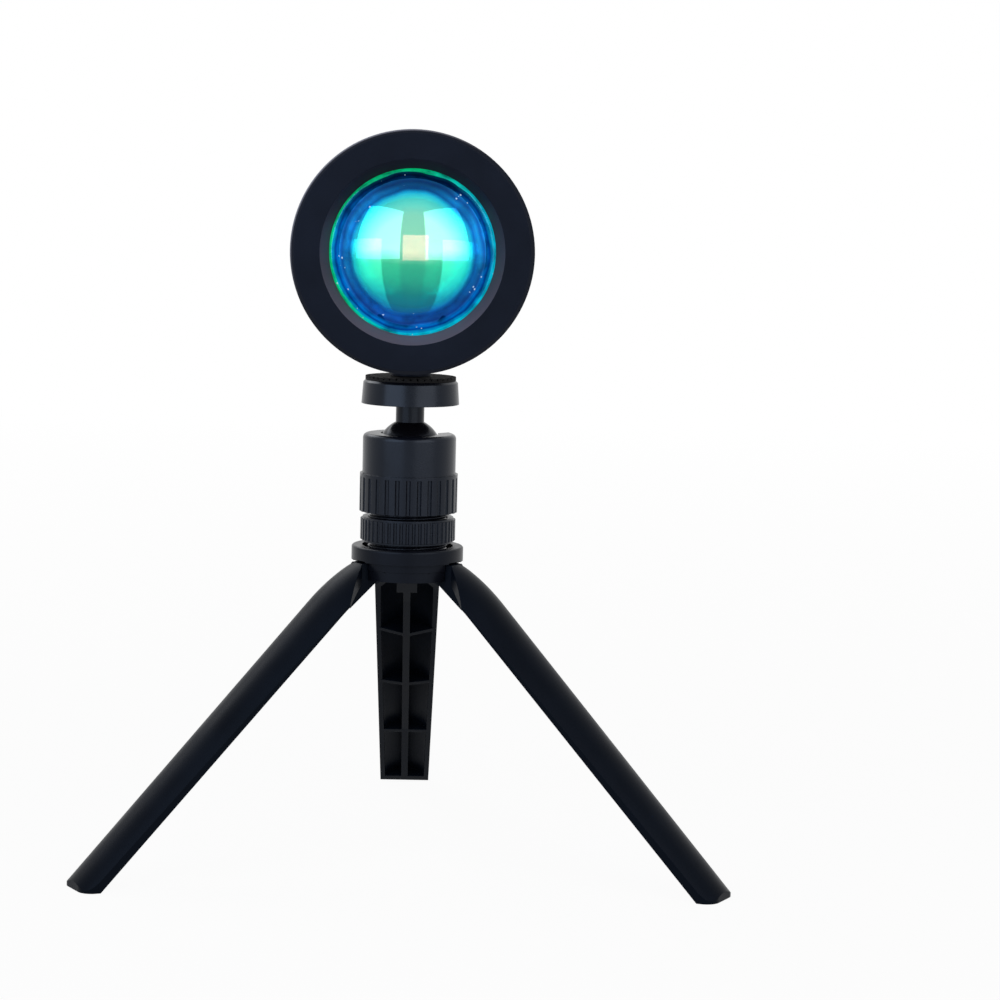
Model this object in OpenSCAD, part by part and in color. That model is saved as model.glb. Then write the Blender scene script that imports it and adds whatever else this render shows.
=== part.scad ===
// Projection lamp on a folding tripod with a ball head.
// Millimetres, +Z up, lamp front faces -Y, the three feet stand on z = 0.

/* [Leg] */
// Length of the straight part of a leg, from the shoulder bend to the sole
leg_straight = 88.9; // [70:0.1:120]
// Slope of the spread leg below the horizontal, degrees
leg_slope = 45; // [40:1:52]
// Half width of a leg at the shoulder
leg_half_top = 8.3; // [7:0.1:9.5]
// Half width of a leg at the toe
leg_half_toe = 6.65; // [5:0.05:7.5]
// Depth of the leg channel, from its open side to its crown
leg_depth = 4.4; // [3.8:0.1:5.2]
// Radius of the rounded outer side of a leg
crown_r = 11; // [10:0.1:14]
// Wall of the rounded outer side
crown_wall = 1.5; // [1:0.1:1.9]
// Wall of the two long sides
side_wall = 1.3; // [1:0.1:1.8]
// Inside radius of the shoulder bend
bend_r = 46; // [38:1:60]
// Distance from the hinge pin out to the end of the shoulder bend
bend_out = 13.2; // [12.5:0.1:15]
// Thickness of the rib down the middle of a leg
web_t = 1.8; // [1.2:0.1:2.4]
// How far the middle rib stands out of the channel at the first cross rib
web_rise = 2.1; // [1:0.1:2.6]
// Distance from the shoulder bend to where the middle rib comes level with the channel
web_end = 63; // [50:1:70]
// Thickness of a cross rib
rib_t = 1.2; // [0.8:0.1:1.8]
// Distance from the shoulder bend to the first cross rib
rib_first = 16; // [12:0.1:18]
// Distance between cross ribs
rib_pitch = 24; // [20:0.1:26]
// Thickness of the closed wall at the sole
toe_wall = 2; // [1.2:0.1:3]
// Length trimmed off the tip of the toe
toe_trim = 2; // [0.6:0.1:2.5]
// Corner radius of the toe
toe_corner = 3.6; // [1.5:0.1:4]

/* [Leg hinge] */
// Distance of the hinge pins from the tripod's axis
pin_r = 9.5; // [9.2:0.1:9.8]
// Radius of a hinge pin
pin_rad = 1; // [0.8:0.05:1.1]
// Half length of a hinge pin
pin_half = 7.4; // [6.5:0.1:7.8]
// Radius of the eye around a hinge pin
eye_r = 1.9; // [1.8:0.05:2]
// Half width of the lug that carries the eye
lug_half = 2.6; // [2.2:0.1:2.8]
// Distance from the pin out to where the lug begins to widen
lug_len = 4.8; // [4.7:0.1:5.2]
// Length over which the lug widens to the full leg
cheek_len = 6.2; // [5.5:0.1:7.5]
// Distance from the pin up to the open side of the leg
pin_depth = 2.2; // [1.9:0.1:2.5]

/* [Tripod hub] */
// Radius of the hub's collar
collar_r = 14; // [13.8:0.1:15]
// Height of the collar
collar_h = 3.6; // [3.2:0.1:5]
// Radius of the hub's body under the collar
hub_r = 13; // [12.6:0.1:13.2]
// Height from the pins up to the underside of the collar
hub_upper = 1.9; // [1.9:0.1:2.2]
// Height of the base plate under the pins
hub_lower = 2.5; // [2.2:0.1:3.5]
// How much smaller the base plate is than the body, on the radius
base_step = 0.2; // [0.1:0.1:0.5]
// Radius of the recess in the top of the hub
recess_r = 11.4; // [11:0.1:12.5]
// Depth of the recess in the top of the hub
recess_h = 1.5; // [1:0.1:2]
// Radius of the hub screw
hub_screw_r = 2.5; // [2:0.1:3]
// Radius of the hub screw's head
hub_screw_head_r = 4; // [3.6:0.1:4.5]
// Height of the hub screw's head
hub_screw_head_h = 1.4; // [1:0.1:1.6]

/* [Ball head] */
// Radius of the threaded core
core_r = 10; // [9.6:0.1:10.2]
// Gap between the hub's collar and the lock ring
ring_gap = 1; // [0.5:0.1:2]
// Radius of the lock ring
ring_r = 11.9; // [11.6:0.1:13]
// Height of the lock ring
ring_h = 6.2; // [5:0.1:8]
// Number of teeth on the lock ring
ring_teeth = 48; // [36:1:52]
// Gap between the lock ring and the clamp sleeve
sleeve_gap = 1.4; // [0.8:0.1:2]
// Radius of the clamp sleeve's smooth top
sleeve_r = 11.65; // [11.4:0.05:12.2]
// Height of the whole clamp sleeve
sleeve_h = 19.5; // [18.5:0.1:22]
// Radius of the clamp sleeve's grip
grip_r = 12.25; // [12.1:0.05:13]
// Height of the grip
grip_h = 9.5; // [7:0.1:11]
// Number of flutes on the grip
grip_flutes = 28; // [20:1:36]
// Radius of a flute
flute_r = 0.55; // [0.4:0.05:0.8]
// Radius of the ball
ball_r = 8; // [7.6:0.1:8.1]
// Thickness of the seat under the ball
seat_floor = 1.2; // [0.8:0.1:1.6]
// Height of the seat
seat_h = 5; // [4:0.1:6]
// Height of the sleeve's rim above the middle of the ball
rim_up = 4.3; // [3.8:0.1:4.8]
// Radius of the neck above the ball
neck_r = 3.55; // [3.3:0.05:3.8]
// Height from the middle of the ball to the platform
neck_h = 11.8; // [11:0.1:14]
// Direction of the notch in the sleeve's rim, degrees from +X
notch_turn = 45; // [0:5:360]

/* [Platform] */
// Radius of the platform at its lower edge
platform_r = 12.2; // [11:0.1:14]
// How much smaller the platform is at its top, on the radius
platform_draft = 0.4; // [0.1:0.1:1]
// Height of the platform
platform_h = 5.9; // [4:0.1:8]
// Radius of the rubber pad
pad_r = 11.3; // [9:0.1:11.5]
// Thickness of the rubber pad
pad_h = 0.9; // [0.6:0.1:1.5]
// Number of notches around the pad
pad_notches = 40; // [24:1:48]
// Radius of the mounting stud
stud_r = 3.1; // [2.8:0.05:3.15]
// Length of the stud above the pad
stud_up = 6.2; // [5:0.1:7]

/* [Lamp head] */
// Height of the mounting boss under the lamp housing
boss_h = 5.6; // [4:0.1:8]
// Radius of the mounting boss
boss_r = 5; // [4.8:0.1:7]
// Radius of the lamp housing
housing_r = 26; // [25.8:0.1:28]
// Wall of the lamp housing
housing_wall = 1.6; // [1.2:0.1:2.2]
// Length of the housing in front of the stud
housing_front = 27; // [25:0.1:34]
// Length of the housing behind the stud
housing_back = 8; // [7:0.1:10]
// Thickness of the housing's rear wall
housing_floor = 3; // [2:0.1:3.5]
// Radius of the front bezel
bezel_r = 29; // [28.5:0.1:33]
// Thickness of the front bezel
bezel_t = 8; // [7:0.1:12]
// Width of the flat between the bezel's outer edge and its bevel
bezel_flat = 7; // [6:0.05:7.5]
// Depth of the bevel
bevel_depth = 2.5; // [1.5:0.1:3.5]
// Width of the bevel
bevel_w = 2.2; // [1.5:0.1:2.8]
// Radius of the lens dome
dome_r = 25; // [22.5:0.1:32]
// Width of the lens flange outside the dome
lens_flange = 1.4; // [0.8:0.1:1.6]
// Thickness of the lens flange
lens_flange_t = 2; // [1.4:0.1:3]
// Thickness of the lip that holds the lens
lens_lip = 1; // [0.8:0.1:1.5]
// Thickness of the lens gasket
gasket_t = 1.2; // [0.8:0.1:1.6]
// Thickness of the lens retainer
retainer_t = 3; // [2:0.1:4]

/* [Light source] */
// Radius of the circuit board that carries the light source
led_board_r = 17; // [15:0.1:19]
// Thickness of the circuit boards
board_t = 1.6; // [1:0.1:2]
// Side of the square light source
chip_side = 10; // [6:0.1:10]
// Thickness of the light source
chip_t = 1; // [0.6:0.1:1.5]
// Wall of the reflector
reflector_wall = 1.2; // [0.8:0.1:1.6]

/* [Heat sink and rear] */
// Thickness of the heat sink's front plate
sink_plate_t = 4; // [3:0.1:4.3]
// Radius of the heat sink's core
sink_core_r = 9; // [7:0.1:12]
// Radius of the cooling fins
fin_r = 21.5; // [20.5:0.1:23]
// Thickness of a cooling fin
fin_t = 1.5; // [1:0.1:2]
// Distance between cooling fins
fin_pitch = 4; // [3.5:0.1:4.5]
// Number of cooling fins
fins = 5; // [3:1:6]
// Depth of the rear cover
cover_h = 11; // [10.5:0.1:16]
// Wall of the rear cover
cover_wall = 1.6; // [1.2:0.1:2]
// Radius of the bore for the supply cable
cable_r = 2; // [1.6:0.1:2.4]

/* [Hidden] */

$fn = 96;
// Clearance of a running fit, on the radius
run_gap = 0.05;
// Clearance of a fixed fit, on the radius
seat_gap = 0.02;
// Gap between pieces that move past each other
move_gap = 0.3;
// Gap between the ball and the clamp sleeve
ball_gap = 0.4;
// Gap between the ball and its seat
seat_ball_gap = 0.25;
// Gap between the pad and the lamp's mounting boss
pad_gap = 0.2;
// Gap around the lens
lens_gap = 0.2;
// Gap around the seat, on the radius
seat_side_gap = 0.45;
// Gap around the driver board and around the posts that pass through it
driver_gap = 0.3;
// Bearing of the gasket and the retainer on the lens
lens_bearing = 1.4;
// Overshoot that keeps a cut from ending on a face
cut = 1;
// How far a rib's edge is let into the rib
sink_in = 0.5;
// How much smaller the seat is than the core, on the radius
seat_step = 1.4;
// How far the sleeve's thread runs on above the core
thread_over = 3;
// Wall of the core above the hub screw
core_roof = 4;
// Wall of the threaded insert
insert_wall = 1;
// How far the stud ends below the bottom of its bore
stud_tip = 0.4;
// Distance from the middle of the ball down to its flat
ball_flat = 6.4;
// Length of the bezel's spigot inside the housing
spigot_h = 7;
// Sweep of the shoulder bend, degrees, longer than the leg uses
bend_sweep = 24;

// Rounded and chamfered edges
hub_edge = 0.6;
ring_edge = 0.5;
sleeve_edge = 1.2;
platform_edge = 0.6;
housing_edge = 2.5;
bezel_edge = 0.9;
cover_edge = 2;

// Hexagon socket of the hub screw, across its flats, and its depth
key_across = 3;
key_depth = 1.1;
// Part of a tooth's pitch that the groove takes on the lock ring
ring_groove = 0.55;
// Height of the grip left whole above the flutes
grip_band = 0.8;
// Width of a notch in the pad as a part of its pitch, and its length
notch_share = 0.225;
notch_len = 1.2;
// Width and depth of the key slots in the lens retainer
key_slot_w = 3;
key_slot_h = 1.2;
// Thickness of the reflector's rim
reflector_rim = 1;

// Radius of the small screws, and radius and height of their heads
screw_r = 1.25;
screw_head_r = 2.2;
screw_head_h = 1.2;
// Number of screws in the board, and in the rear cover, and where each ring starts
screws = 3;
board_screw_turn = 90;
cover_screw_turn = 30;
// Distance of the board's screws from its edge
board_edge = 3;
// Plate left whole under the screws' threads
thread_floor = 1;
// Radius of the wires' bore, number of wires and radius of a wire
lead_bore = 3;
leads = 4;
lead_r = 0.6;
// How much smaller the heat sink's nose is than its fins, on the radius
nose_step = 4;
// Wall of the rear cover's screw posts, and width of their shelves
post_wall = 1.3;
shelf_w = 1;
// Distance of the driver board behind the heat sink
driver_back = 4;
// Width, height and depth of the receiver, and radius of its window
receiver = [6, 5, 3.4];
window_r = 3.2;
// Distance of the window from the middle of the rear cover
part_up = 9;
// Wall and flange of the grommet
grommet_wall = 1.5;
grommet_flange = 1.2;

// Directions of the legs around the tripod's axis: front left, front right, back
leg_turns = [210, 330, 90];
leg_black = [0.06, 0.065, 0.08];
housing_black = [0.09, 0.095, 0.11];

// Leg, in a frame where X runs outward from the tripod's axis and Y across the leg
slope_sin = sin(leg_slope);
slope_cos = cos(leg_slope);
bend_x = pin_r + bend_out;
bend_z = leg_straight * slope_sin;
sole_x = bend_x + leg_straight * slope_cos;
toe_x = sole_x + leg_depth / slope_sin - toe_trim;
pin_z = bend_z + bend_out * tan(leg_slope) - pin_depth / slope_cos;
bend_centre = [bend_x - bend_r * slope_sin, bend_z - bend_r * slope_cos];
lug_x = pin_r + lug_len;
cheek_x = lug_x + cheek_len;
rib_count = floor((leg_straight - toe_wall - rib_first - rib_t) / rib_pitch) + 1;
function rib_at(i) = rib_first + i * rib_pitch;
function web_out(u) = web_rise * (web_end - u) / (web_end - rib_first);
function half_at(x) = leg_half_top + (leg_half_toe - leg_half_top) * (x - cheek_x) / (toe_x - cheek_x);

// Hub and ball head, from the pins up
collar_z = pin_z + hub_upper;
collar_top = collar_z + collar_h;
base_z = pin_z - hub_lower;
core_z = collar_top - recess_h;
slot_half = lug_half + move_gap;
slot_top = max(pin_z + eye_r, collar_z) + move_gap;
slot_x = pin_r - eye_r - move_gap;
stop_z = collar_z - move_gap;
ring_z = collar_top + ring_gap;
sleeve_z = ring_z + ring_h + sleeve_gap;
rim_z = sleeve_z + sleeve_h;
ball_z = rim_z - rim_up;
socket_r = ball_r + ball_gap;
seat_r = core_r - seat_step;
seat_z = ball_z - ball_r - seat_floor;
core_top = seat_z - move_gap;
chamber_r = seat_r + seat_side_gap;
chamber_z = core_top + thread_over;
notch_half = neck_r + move_gap;

// Platform and stud
platform_z = ball_z + neck_h;
pad_z = platform_z + platform_h;
boss_z = pad_z + pad_h + pad_gap;
stud_top = pad_z + pad_h + stud_up;
head_z = boss_z + boss_h + housing_r;
insert_r = stud_r + run_gap + insert_wall;
insert_h = stud_up - pad_gap;

// Lamp head, in a frame where +Z runs to the front and +Y up, from the stud's axis
face_z = housing_front + bezel_t;
housing_in = housing_r - housing_wall;
bevel_r = bezel_r - bezel_flat;
lens_open = bevel_r - bevel_w;
dome_base_r = lens_open - lens_gap;
dome_z = face_z - bevel_depth;
lens_z = dome_z - lens_lip - lens_flange_t;
lens_r = dome_base_r + lens_flange;
dome_centre = dome_z - sqrt(dome_r * dome_r - dome_base_r * dome_base_r);
seat_bore_r = lens_r + lens_gap / 2;
spigot_r = housing_in - lens_gap / 2;
gasket_z = lens_z - gasket_t;
retainer_z = gasket_z - retainer_t;
retainer_in = dome_base_r - lens_bearing;
sink_z = -housing_back + housing_floor;
plate_top = sink_z + sink_plate_t;
board_z = plate_top;
chip_z = board_z + board_t;
reflector_in = chip_side / sqrt(2) + move_gap;
reflector_out = retainer_in;
sink_plate_r = housing_in - move_gap;
nose_r = fin_r - nose_step;
fin_first = housing_back + fin_pitch - fin_t;
sink_back = fin_first + fins * fin_pitch + fin_t;
board_screw_at = led_board_r - board_edge;
cover_back = sink_back + cover_h;
post_r = screw_r + post_wall;
shelf_r = post_r + shelf_w;
cover_in = fin_r - cover_wall;
post_at = cover_in - shelf_r - shelf_w;
driver_z = -(sink_back + driver_back);
driver_r = cover_in - driver_gap;
screw_depth = sink_plate_t - thread_floor;
grommet_groove_r = cable_r + grommet_wall;
grommet_rim_r = grommet_groove_r + grommet_flange;
grommet_down = post_at - shelf_r - grommet_rim_r - move_gap;

// Tripod axis in the model, so that the origin lies at the middle of the bounding box
corner_x = toe_x - toe_corner;
corner_y = leg_half_toe - toe_corner;
front_turn = leg_turns[1] - 270;
front_reach = corner_x * cos(front_turn) + corner_y * sin(front_turn) + toe_corner;
axis_y = (front_reach - toe_x) / 2;

module at_axis() {
    translate([0, axis_y, 0]) children();
}

module at_leg(turn) {
    at_axis() rotate([0, 0, turn]) children();
}

// +Z to the lamp's front, +Y up, origin where the stud's axis crosses the lamp's axis
module at_head() {
    at_axis() translate([0, 0, head_z]) rotate([90, 0, 0]) children();
}

module ring(outer, inner, h) {
    difference() {
        cylinder(r = outer, h = h);
        translate([0, 0, -cut]) cylinder(r = inner, h = h + 2 * cut);
    }
}

// Copies around an axis
module around(count, from = 0) {
    for (i = [0 : count - 1]) rotate([0, 0, from + i * 360 / count]) children();
}

// Solid of revolution with a rounded edge at its foot
module round_foot(r, h, edge) {
    rotate_extrude() {
        translate([0, edge]) square([r, h - edge]);
        square([r - edge, 2 * edge]);
        translate([r - edge, edge]) circle(r = edge);
    }
}

module at_board_screws() {
    around(screws, board_screw_turn) translate([board_screw_at, 0, 0]) children();
}

module at_cover_screws() {
    around(screws, cover_screw_turn) translate([post_at, 0, 0]) children();
}

// Cross section of the leg: x runs out of the channel's open side to the crown, y across
module crown_section(r, depth, half, below) {
    intersection() {
        translate([leg_depth - crown_r, 0]) circle(r = r);
        translate([-below, -half]) square([depth + below, 2 * half]);
    }
}

// A section carried down the straight part, between two distances from the bend
module down_leg(from, to) {
    translate([bend_x, 0, bend_z])
        rotate([0, 90 + leg_slope, 0])
            translate([0, 0, from]) linear_extrude(height = to - from) rotate(180) children();
}

// A section carried round the shoulder bend
module round_bend(sweep) {
    translate([bend_centre[0], 0, bend_centre[1]])
        rotate([90, 0, 0]) rotate([0, 0, 90 - leg_slope])
            rotate_extrude(angle = sweep) translate([bend_r, 0]) children();
}

// Plan outline of the leg: lug, cheeks, taper and rounded toe
module leg_plan() {
    for (s = [-1, 1]) {
        polygon([
            [pin_r, 0], [pin_r, s * lug_half], [lug_x, s * lug_half], [cheek_x, s * leg_half_top],
            [corner_x, s * half_at(corner_x)], [corner_x, 0]
        ]);
        translate([corner_x, s * corner_y]) circle(r = toe_corner);
    }
    translate([corner_x - toe_corner, -leg_half_toe]) square([toe_corner, 2 * leg_half_toe]);
    translate([corner_x, -corner_y]) square([toe_corner, 2 * corner_y]);
}

// Plan outline of the hollow, one side wall inside the leg
module hollow_plan() {
    inset = side_wall / sin(atan((leg_half_top - lug_half) / cheek_len));
    for (s = [-1, 1])
        polygon([
            [lug_x + inset, s * web_t / 2], [lug_x + inset, s * lug_half],
            [cheek_x + inset - side_wall, s * (leg_half_top - side_wall)],
            [toe_x, s * (leg_half_toe - side_wall)], [toe_x, s * web_t / 2]
        ]);
}

module leg_crown() {
    intersection() {
        union() {
            down_leg(0, leg_straight + 2 * leg_depth)
                crown_section(crown_r, leg_depth, leg_half_top + cut, 0);
            round_bend(bend_sweep) crown_section(crown_r, leg_depth, leg_half_top + cut, 0);
        }
        linear_extrude(height = stop_z) leg_plan();
    }
}

// One pocket between two cross ribs, cut back from the open side
module leg_pocket(from, to) {
    down_leg(from, to)
        crown_section(crown_r - crown_wall, leg_depth, leg_half_top, cut);
}

module leg_hollow() {
    intersection() {
        union() {
            round_bend(bend_sweep)
                crown_section(crown_r - crown_wall, leg_depth, leg_half_top, cut);
            leg_pocket(0, rib_at(0) - rib_t / 2);
            for (i = [0 : rib_count - 1])
                leg_pocket(
                    rib_at(i) + rib_t / 2,
                    i == rib_count - 1 ? leg_straight - toe_wall : rib_at(i + 1) - rib_t / 2
                );
        }
        linear_extrude(height = stop_z) hollow_plan();
    }
}

// A cross rib's edge: it slopes from the side walls to the middle rib
module rib_edge(i) {
    half = half_at(bend_x + rib_at(i) * slope_cos) - side_wall / 2;
    down_leg(rib_at(i) - rib_t / 2, rib_at(i) + rib_t / 2)
        polygon([[sink_in, -half], [0, -half], [-web_out(rib_at(i)), 0], [0, half], [sink_in, half]]);
}

// Side view of the middle rib and lug, in the leg's X and Z
module web_side() {
    low = web_out(0);
    translate([pin_r, pin_z]) circle(r = eye_r);
    polygon([
        [pin_r, pin_z + eye_r], [lug_x, stop_z], [bend_x, bend_z + sink_in],
        [bend_x + web_end * slope_cos, bend_z - web_end * slope_sin + sink_in],
        [bend_x + web_end * slope_cos, bend_z - web_end * slope_sin],
        [bend_x - low * slope_sin, bend_z - low * slope_cos],
        [pin_r - eye_r * slope_sin, pin_z - eye_r * slope_cos]
    ]);
}

module upright(half) {
    rotate([90, 0, 0]) translate([0, 0, -half]) linear_extrude(height = 2 * half) children();
}

module leg() {
    difference() {
        union() {
            difference() {
                leg_crown();
                leg_hollow();
            }
            upright(web_t / 2) web_side();
            intersection() {
                upright(lug_half) web_side();
                translate([pin_r - eye_r - cut, -lug_half - cut, 0])
                    cube([lug_len + eye_r + cut + cheek_len / 2, 2 * (lug_half + cut), stop_z + eye_r]);
            }
            for (i = [0 : rib_count - 1])
                if (rib_at(i) < web_end) rib_edge(i);
        }
        translate([pin_r, 0, pin_z]) rotate([90, 0, 0])
            cylinder(r = pin_rad + run_gap, h = 4 * lug_half, center = true);
    }
}

module leg_left() {
    color(leg_black) at_leg(leg_turns[0]) leg();
}

module leg_right() {
    color(leg_black) at_leg(leg_turns[1]) leg();
}

module leg_back() {
    color(leg_black) at_leg(leg_turns[2]) leg();
}

module leg_slots() {
    for (turn = leg_turns)
        rotate([0, 0, turn]) translate([slot_x, -slot_half, base_z - cut])
            cube([collar_r, 2 * slot_half, slot_top - base_z + cut]);
}

module pin_bores() {
    for (turn = leg_turns)
        rotate([0, 0, turn]) translate([pin_r, 0, pin_z]) rotate([90, 0, 0])
            cylinder(r = pin_rad + seat_gap, h = 2 * (pin_half + seat_gap), center = true);
}

module tripod_hub() {
    color([0.1, 0.105, 0.12]) at_axis() difference() {
        rotate_extrude() {
            translate([0, pin_z]) square([hub_r, hub_upper + cut]);
            translate([0, collar_z]) square([collar_r, collar_h - hub_edge]);
            translate([0, collar_z]) square([collar_r - hub_edge, collar_h]);
            translate([collar_r - hub_edge, collar_top - hub_edge]) circle(r = hub_edge);
        }
        translate([0, 0, core_z]) cylinder(r = recess_r, h = recess_h + cut);
        translate([0, 0, pin_z - cut]) cylinder(r = hub_screw_r + seat_gap, h = collar_top);
        leg_slots();
        pin_bores();
    }
}

module hub_base() {
    color([0.1, 0.105, 0.12]) at_axis() difference() {
        translate([0, 0, base_z]) cylinder(r = hub_r - base_step, h = hub_lower);
        translate([0, 0, base_z - cut]) cylinder(r = hub_screw_r + seat_gap, h = hub_lower + 2 * cut);
        translate([0, 0, base_z - cut])
            cylinder(r = hub_screw_head_r + move_gap, h = hub_screw_head_h + cut);
        leg_slots();
        pin_bores();
    }
}

module hub_screw() {
    color([0.6, 0.6, 0.62]) at_axis() difference() {
        union() {
            translate([0, 0, base_z]) cylinder(r = hub_screw_head_r, h = hub_screw_head_h);
            translate([0, 0, base_z]) cylinder(r = hub_screw_r, h = core_top - core_roof - base_z);
        }
        translate([0, 0, base_z - cut])
            cylinder(r = key_across / sqrt(3), h = cut + key_depth, $fn = 6);
    }
}

module hinge_pins() {
    color([0.55, 0.55, 0.57]) at_axis()
        for (turn = leg_turns)
            rotate([0, 0, turn]) translate([pin_r, 0, pin_z]) rotate([90, 0, 0])
                cylinder(r = pin_rad, h = 2 * pin_half, center = true);
}

module socket_core() {
    color([0.07, 0.07, 0.08]) at_axis() difference() {
        translate([0, 0, core_z]) cylinder(r = core_r, h = core_top - core_z);
        translate([0, 0, core_z - cut])
            cylinder(r = hub_screw_r + seat_gap, h = core_top - core_z - core_roof + cut + move_gap);
    }
}

module lock_ring() {
    color([0.11, 0.115, 0.13]) at_axis() translate([0, 0, ring_z]) difference() {
        union() {
            translate([0, 0, ring_edge]) cylinder(r = ring_r, h = ring_h - 2 * ring_edge);
            cylinder(r = ring_r - ring_edge, h = ring_h);
        }
        translate([0, 0, -cut]) cylinder(r = core_r + run_gap, h = ring_h + 2 * cut);
        around(ring_teeth) translate([ring_r, 0, -cut])
            cylinder(r = ring_r * PI / ring_teeth * ring_groove, h = ring_h + 2 * cut);
    }
}

module clamp_sleeve() {
    smooth_z = sleeve_z + grip_h;
    top_r = sleeve_r - sleeve_edge;
    color([0.12, 0.125, 0.14]) at_axis() difference() {
        union() {
            translate([0, 0, sleeve_z]) cylinder(r = grip_r, h = grip_h);
            rotate_extrude() {
                translate([0, smooth_z - cut]) square([sleeve_r, rim_z - smooth_z + cut - sleeve_edge]);
                translate([0, rim_z - sleeve_edge - cut]) square([top_r, sleeve_edge + cut]);
                translate([top_r, rim_z - sleeve_edge]) circle(r = sleeve_edge);
            }
        }
        translate([0, 0, sleeve_z - cut])
            cylinder(r = core_r + run_gap, h = chamber_z - sleeve_z + cut);
        translate([0, 0, sleeve_z]) cylinder(r = chamber_r, h = seat_z + seat_h + move_gap - sleeve_z);
        translate([0, 0, ball_z]) sphere(r = socket_r);
        around(grip_flutes) translate([grip_r, 0, sleeve_z - cut])
            cylinder(r = flute_r, h = grip_h + cut - grip_band);
        rotate([0, 0, notch_turn]) translate([0, 0, ball_z]) {
            rotate([0, 90, 0]) cylinder(r = notch_half, h = grip_r + cut);
            translate([0, -notch_half, 0]) cube([grip_r + cut, 2 * notch_half, rim_up + cut]);
        }
    }
}

module ball_seat() {
    color([0.85, 0.85, 0.82]) at_axis() difference() {
        translate([0, 0, seat_z]) cylinder(r = seat_r, h = seat_h);
        translate([0, 0, ball_z]) sphere(r = ball_r + seat_ball_gap);
    }
}

module ball_stud() {
    color([0.05, 0.05, 0.06]) at_axis() union() {
        difference() {
            translate([0, 0, ball_z]) sphere(r = ball_r);
            translate([0, 0, ball_z - 2 * ball_r]) cylinder(r = ball_r, h = 2 * ball_r - ball_flat);
        }
        translate([0, 0, ball_z]) cylinder(r = neck_r, h = neck_h);
        translate([0, 0, ball_z]) cylinder(r = stud_r, h = stud_top - ball_z);
    }
}

module platform_disc() {
    top_r = platform_r - platform_draft;
    color([0.11, 0.11, 0.125]) at_axis() difference() {
        rotate_extrude() {
            polygon([
                [0, platform_z], [platform_r, platform_z], [top_r, pad_z - platform_edge],
                [top_r - platform_edge, pad_z], [0, pad_z]
            ]);
        }
        translate([0, 0, platform_z - cut]) cylinder(r = stud_r + seat_gap, h = platform_h + 2 * cut);
    }
}

module platform_pad() {
    notch = 2 * PI * pad_r / pad_notches * notch_share;
    color([0.05, 0.05, 0.055]) at_axis() translate([0, 0, pad_z]) difference() {
        cylinder(r = pad_r, h = pad_h);
        translate([0, 0, -cut]) cylinder(r = stud_r + seat_gap, h = pad_h + 2 * cut);
        around(pad_notches) translate([pad_r - notch_len, -notch / 2, pad_h / 2])
            cube([notch_len + cut, notch, pad_h]);
    }
}

module lamp_housing() {
    bore_top = stud_top + stud_tip;
    color(housing_black) difference() {
        union() {
            at_head() translate([0, 0, -housing_back])
                round_foot(housing_r, housing_back + housing_front, housing_edge);
            at_axis() translate([0, 0, boss_z]) cylinder(r = boss_r, h = housing_r);
        }
        at_head() translate([0, 0, sink_z]) cylinder(r = housing_in, h = housing_front - sink_z + cut);
        at_head() translate([0, 0, -housing_back - cut])
            cylinder(r = nose_r + seat_gap, h = housing_floor + 2 * cut);
        at_axis() translate([0, 0, boss_z - cut])
            cylinder(r = insert_r + seat_gap, h = bore_top - boss_z + cut);
    }
}

module thread_insert() {
    color([0.78, 0.62, 0.3]) at_axis() translate([0, 0, boss_z])
        ring(insert_r, stud_r + run_gap, insert_h);
}

module front_bezel() {
    color([0.11, 0.12, 0.15]) at_head() difference() {
        rotate_extrude() polygon([
            [0, housing_front - spigot_h], [spigot_r, housing_front - spigot_h],
            [spigot_r, housing_front], [bezel_r - bezel_edge, housing_front],
            [bezel_r, housing_front + bezel_edge], [bezel_r, face_z - bezel_edge],
            [bezel_r - bezel_edge, face_z], [0, face_z]
        ]);
        translate([0, 0, -cut]) cylinder(r = lens_open, h = face_z + 2 * cut);
        translate([0, 0, -cut]) cylinder(r = seat_bore_r, h = dome_z - lens_lip + cut);
        rotate_extrude() polygon([
            [0, dome_z], [lens_open, dome_z], [bevel_r, face_z],
            [bevel_r + bevel_w, face_z + bevel_depth], [0, face_z + bevel_depth]
        ]);
    }
}

module lens() {
    color([0.1, 0.75, 0.8]) at_head() union() {
        translate([0, 0, lens_z]) cylinder(r = lens_r, h = lens_flange_t);
        translate([0, 0, lens_z]) cylinder(r = dome_base_r, h = dome_z - lens_z);
        intersection() {
            translate([0, 0, dome_centre]) sphere(r = dome_r);
            translate([0, 0, dome_z]) cylinder(r = dome_r, h = dome_r);
        }
    }
}

module lens_gasket() {
    color([0.04, 0.04, 0.04]) at_head() translate([0, 0, gasket_z])
        ring(lens_r, retainer_in, gasket_t);
}

module lens_retainer() {
    color([0.08, 0.08, 0.09]) at_head() translate([0, 0, retainer_z]) difference() {
        ring(lens_r, retainer_in, retainer_t);
        around(2) translate([retainer_in - cut, -key_slot_w / 2, -cut])
            cube([lens_r, key_slot_w, key_slot_h + cut]);
    }
}

module reflector() {
    color([0.9, 0.9, 0.9]) at_head() rotate_extrude() polygon([
        [reflector_in, chip_z], [reflector_in + reflector_wall, chip_z],
        [reflector_out + reflector_wall, retainer_z - reflector_rim],
        [lens_r, retainer_z - reflector_rim],
        [lens_r, retainer_z], [reflector_out, retainer_z]
    ]);
}

module led_chip() {
    color([0.95, 0.9, 0.6]) at_head() translate([-chip_side / 2, -chip_side / 2, chip_z])
        cube([chip_side, chip_side, chip_t]);
}

module led_board() {
    color([0.9, 0.9, 0.9]) at_head() translate([0, 0, board_z]) difference() {
        cylinder(r = led_board_r, h = board_t);
        at_board_screws() translate([0, 0, -cut])
            cylinder(r = screw_r + seat_gap, h = board_t + 2 * cut);
    }
}

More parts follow.
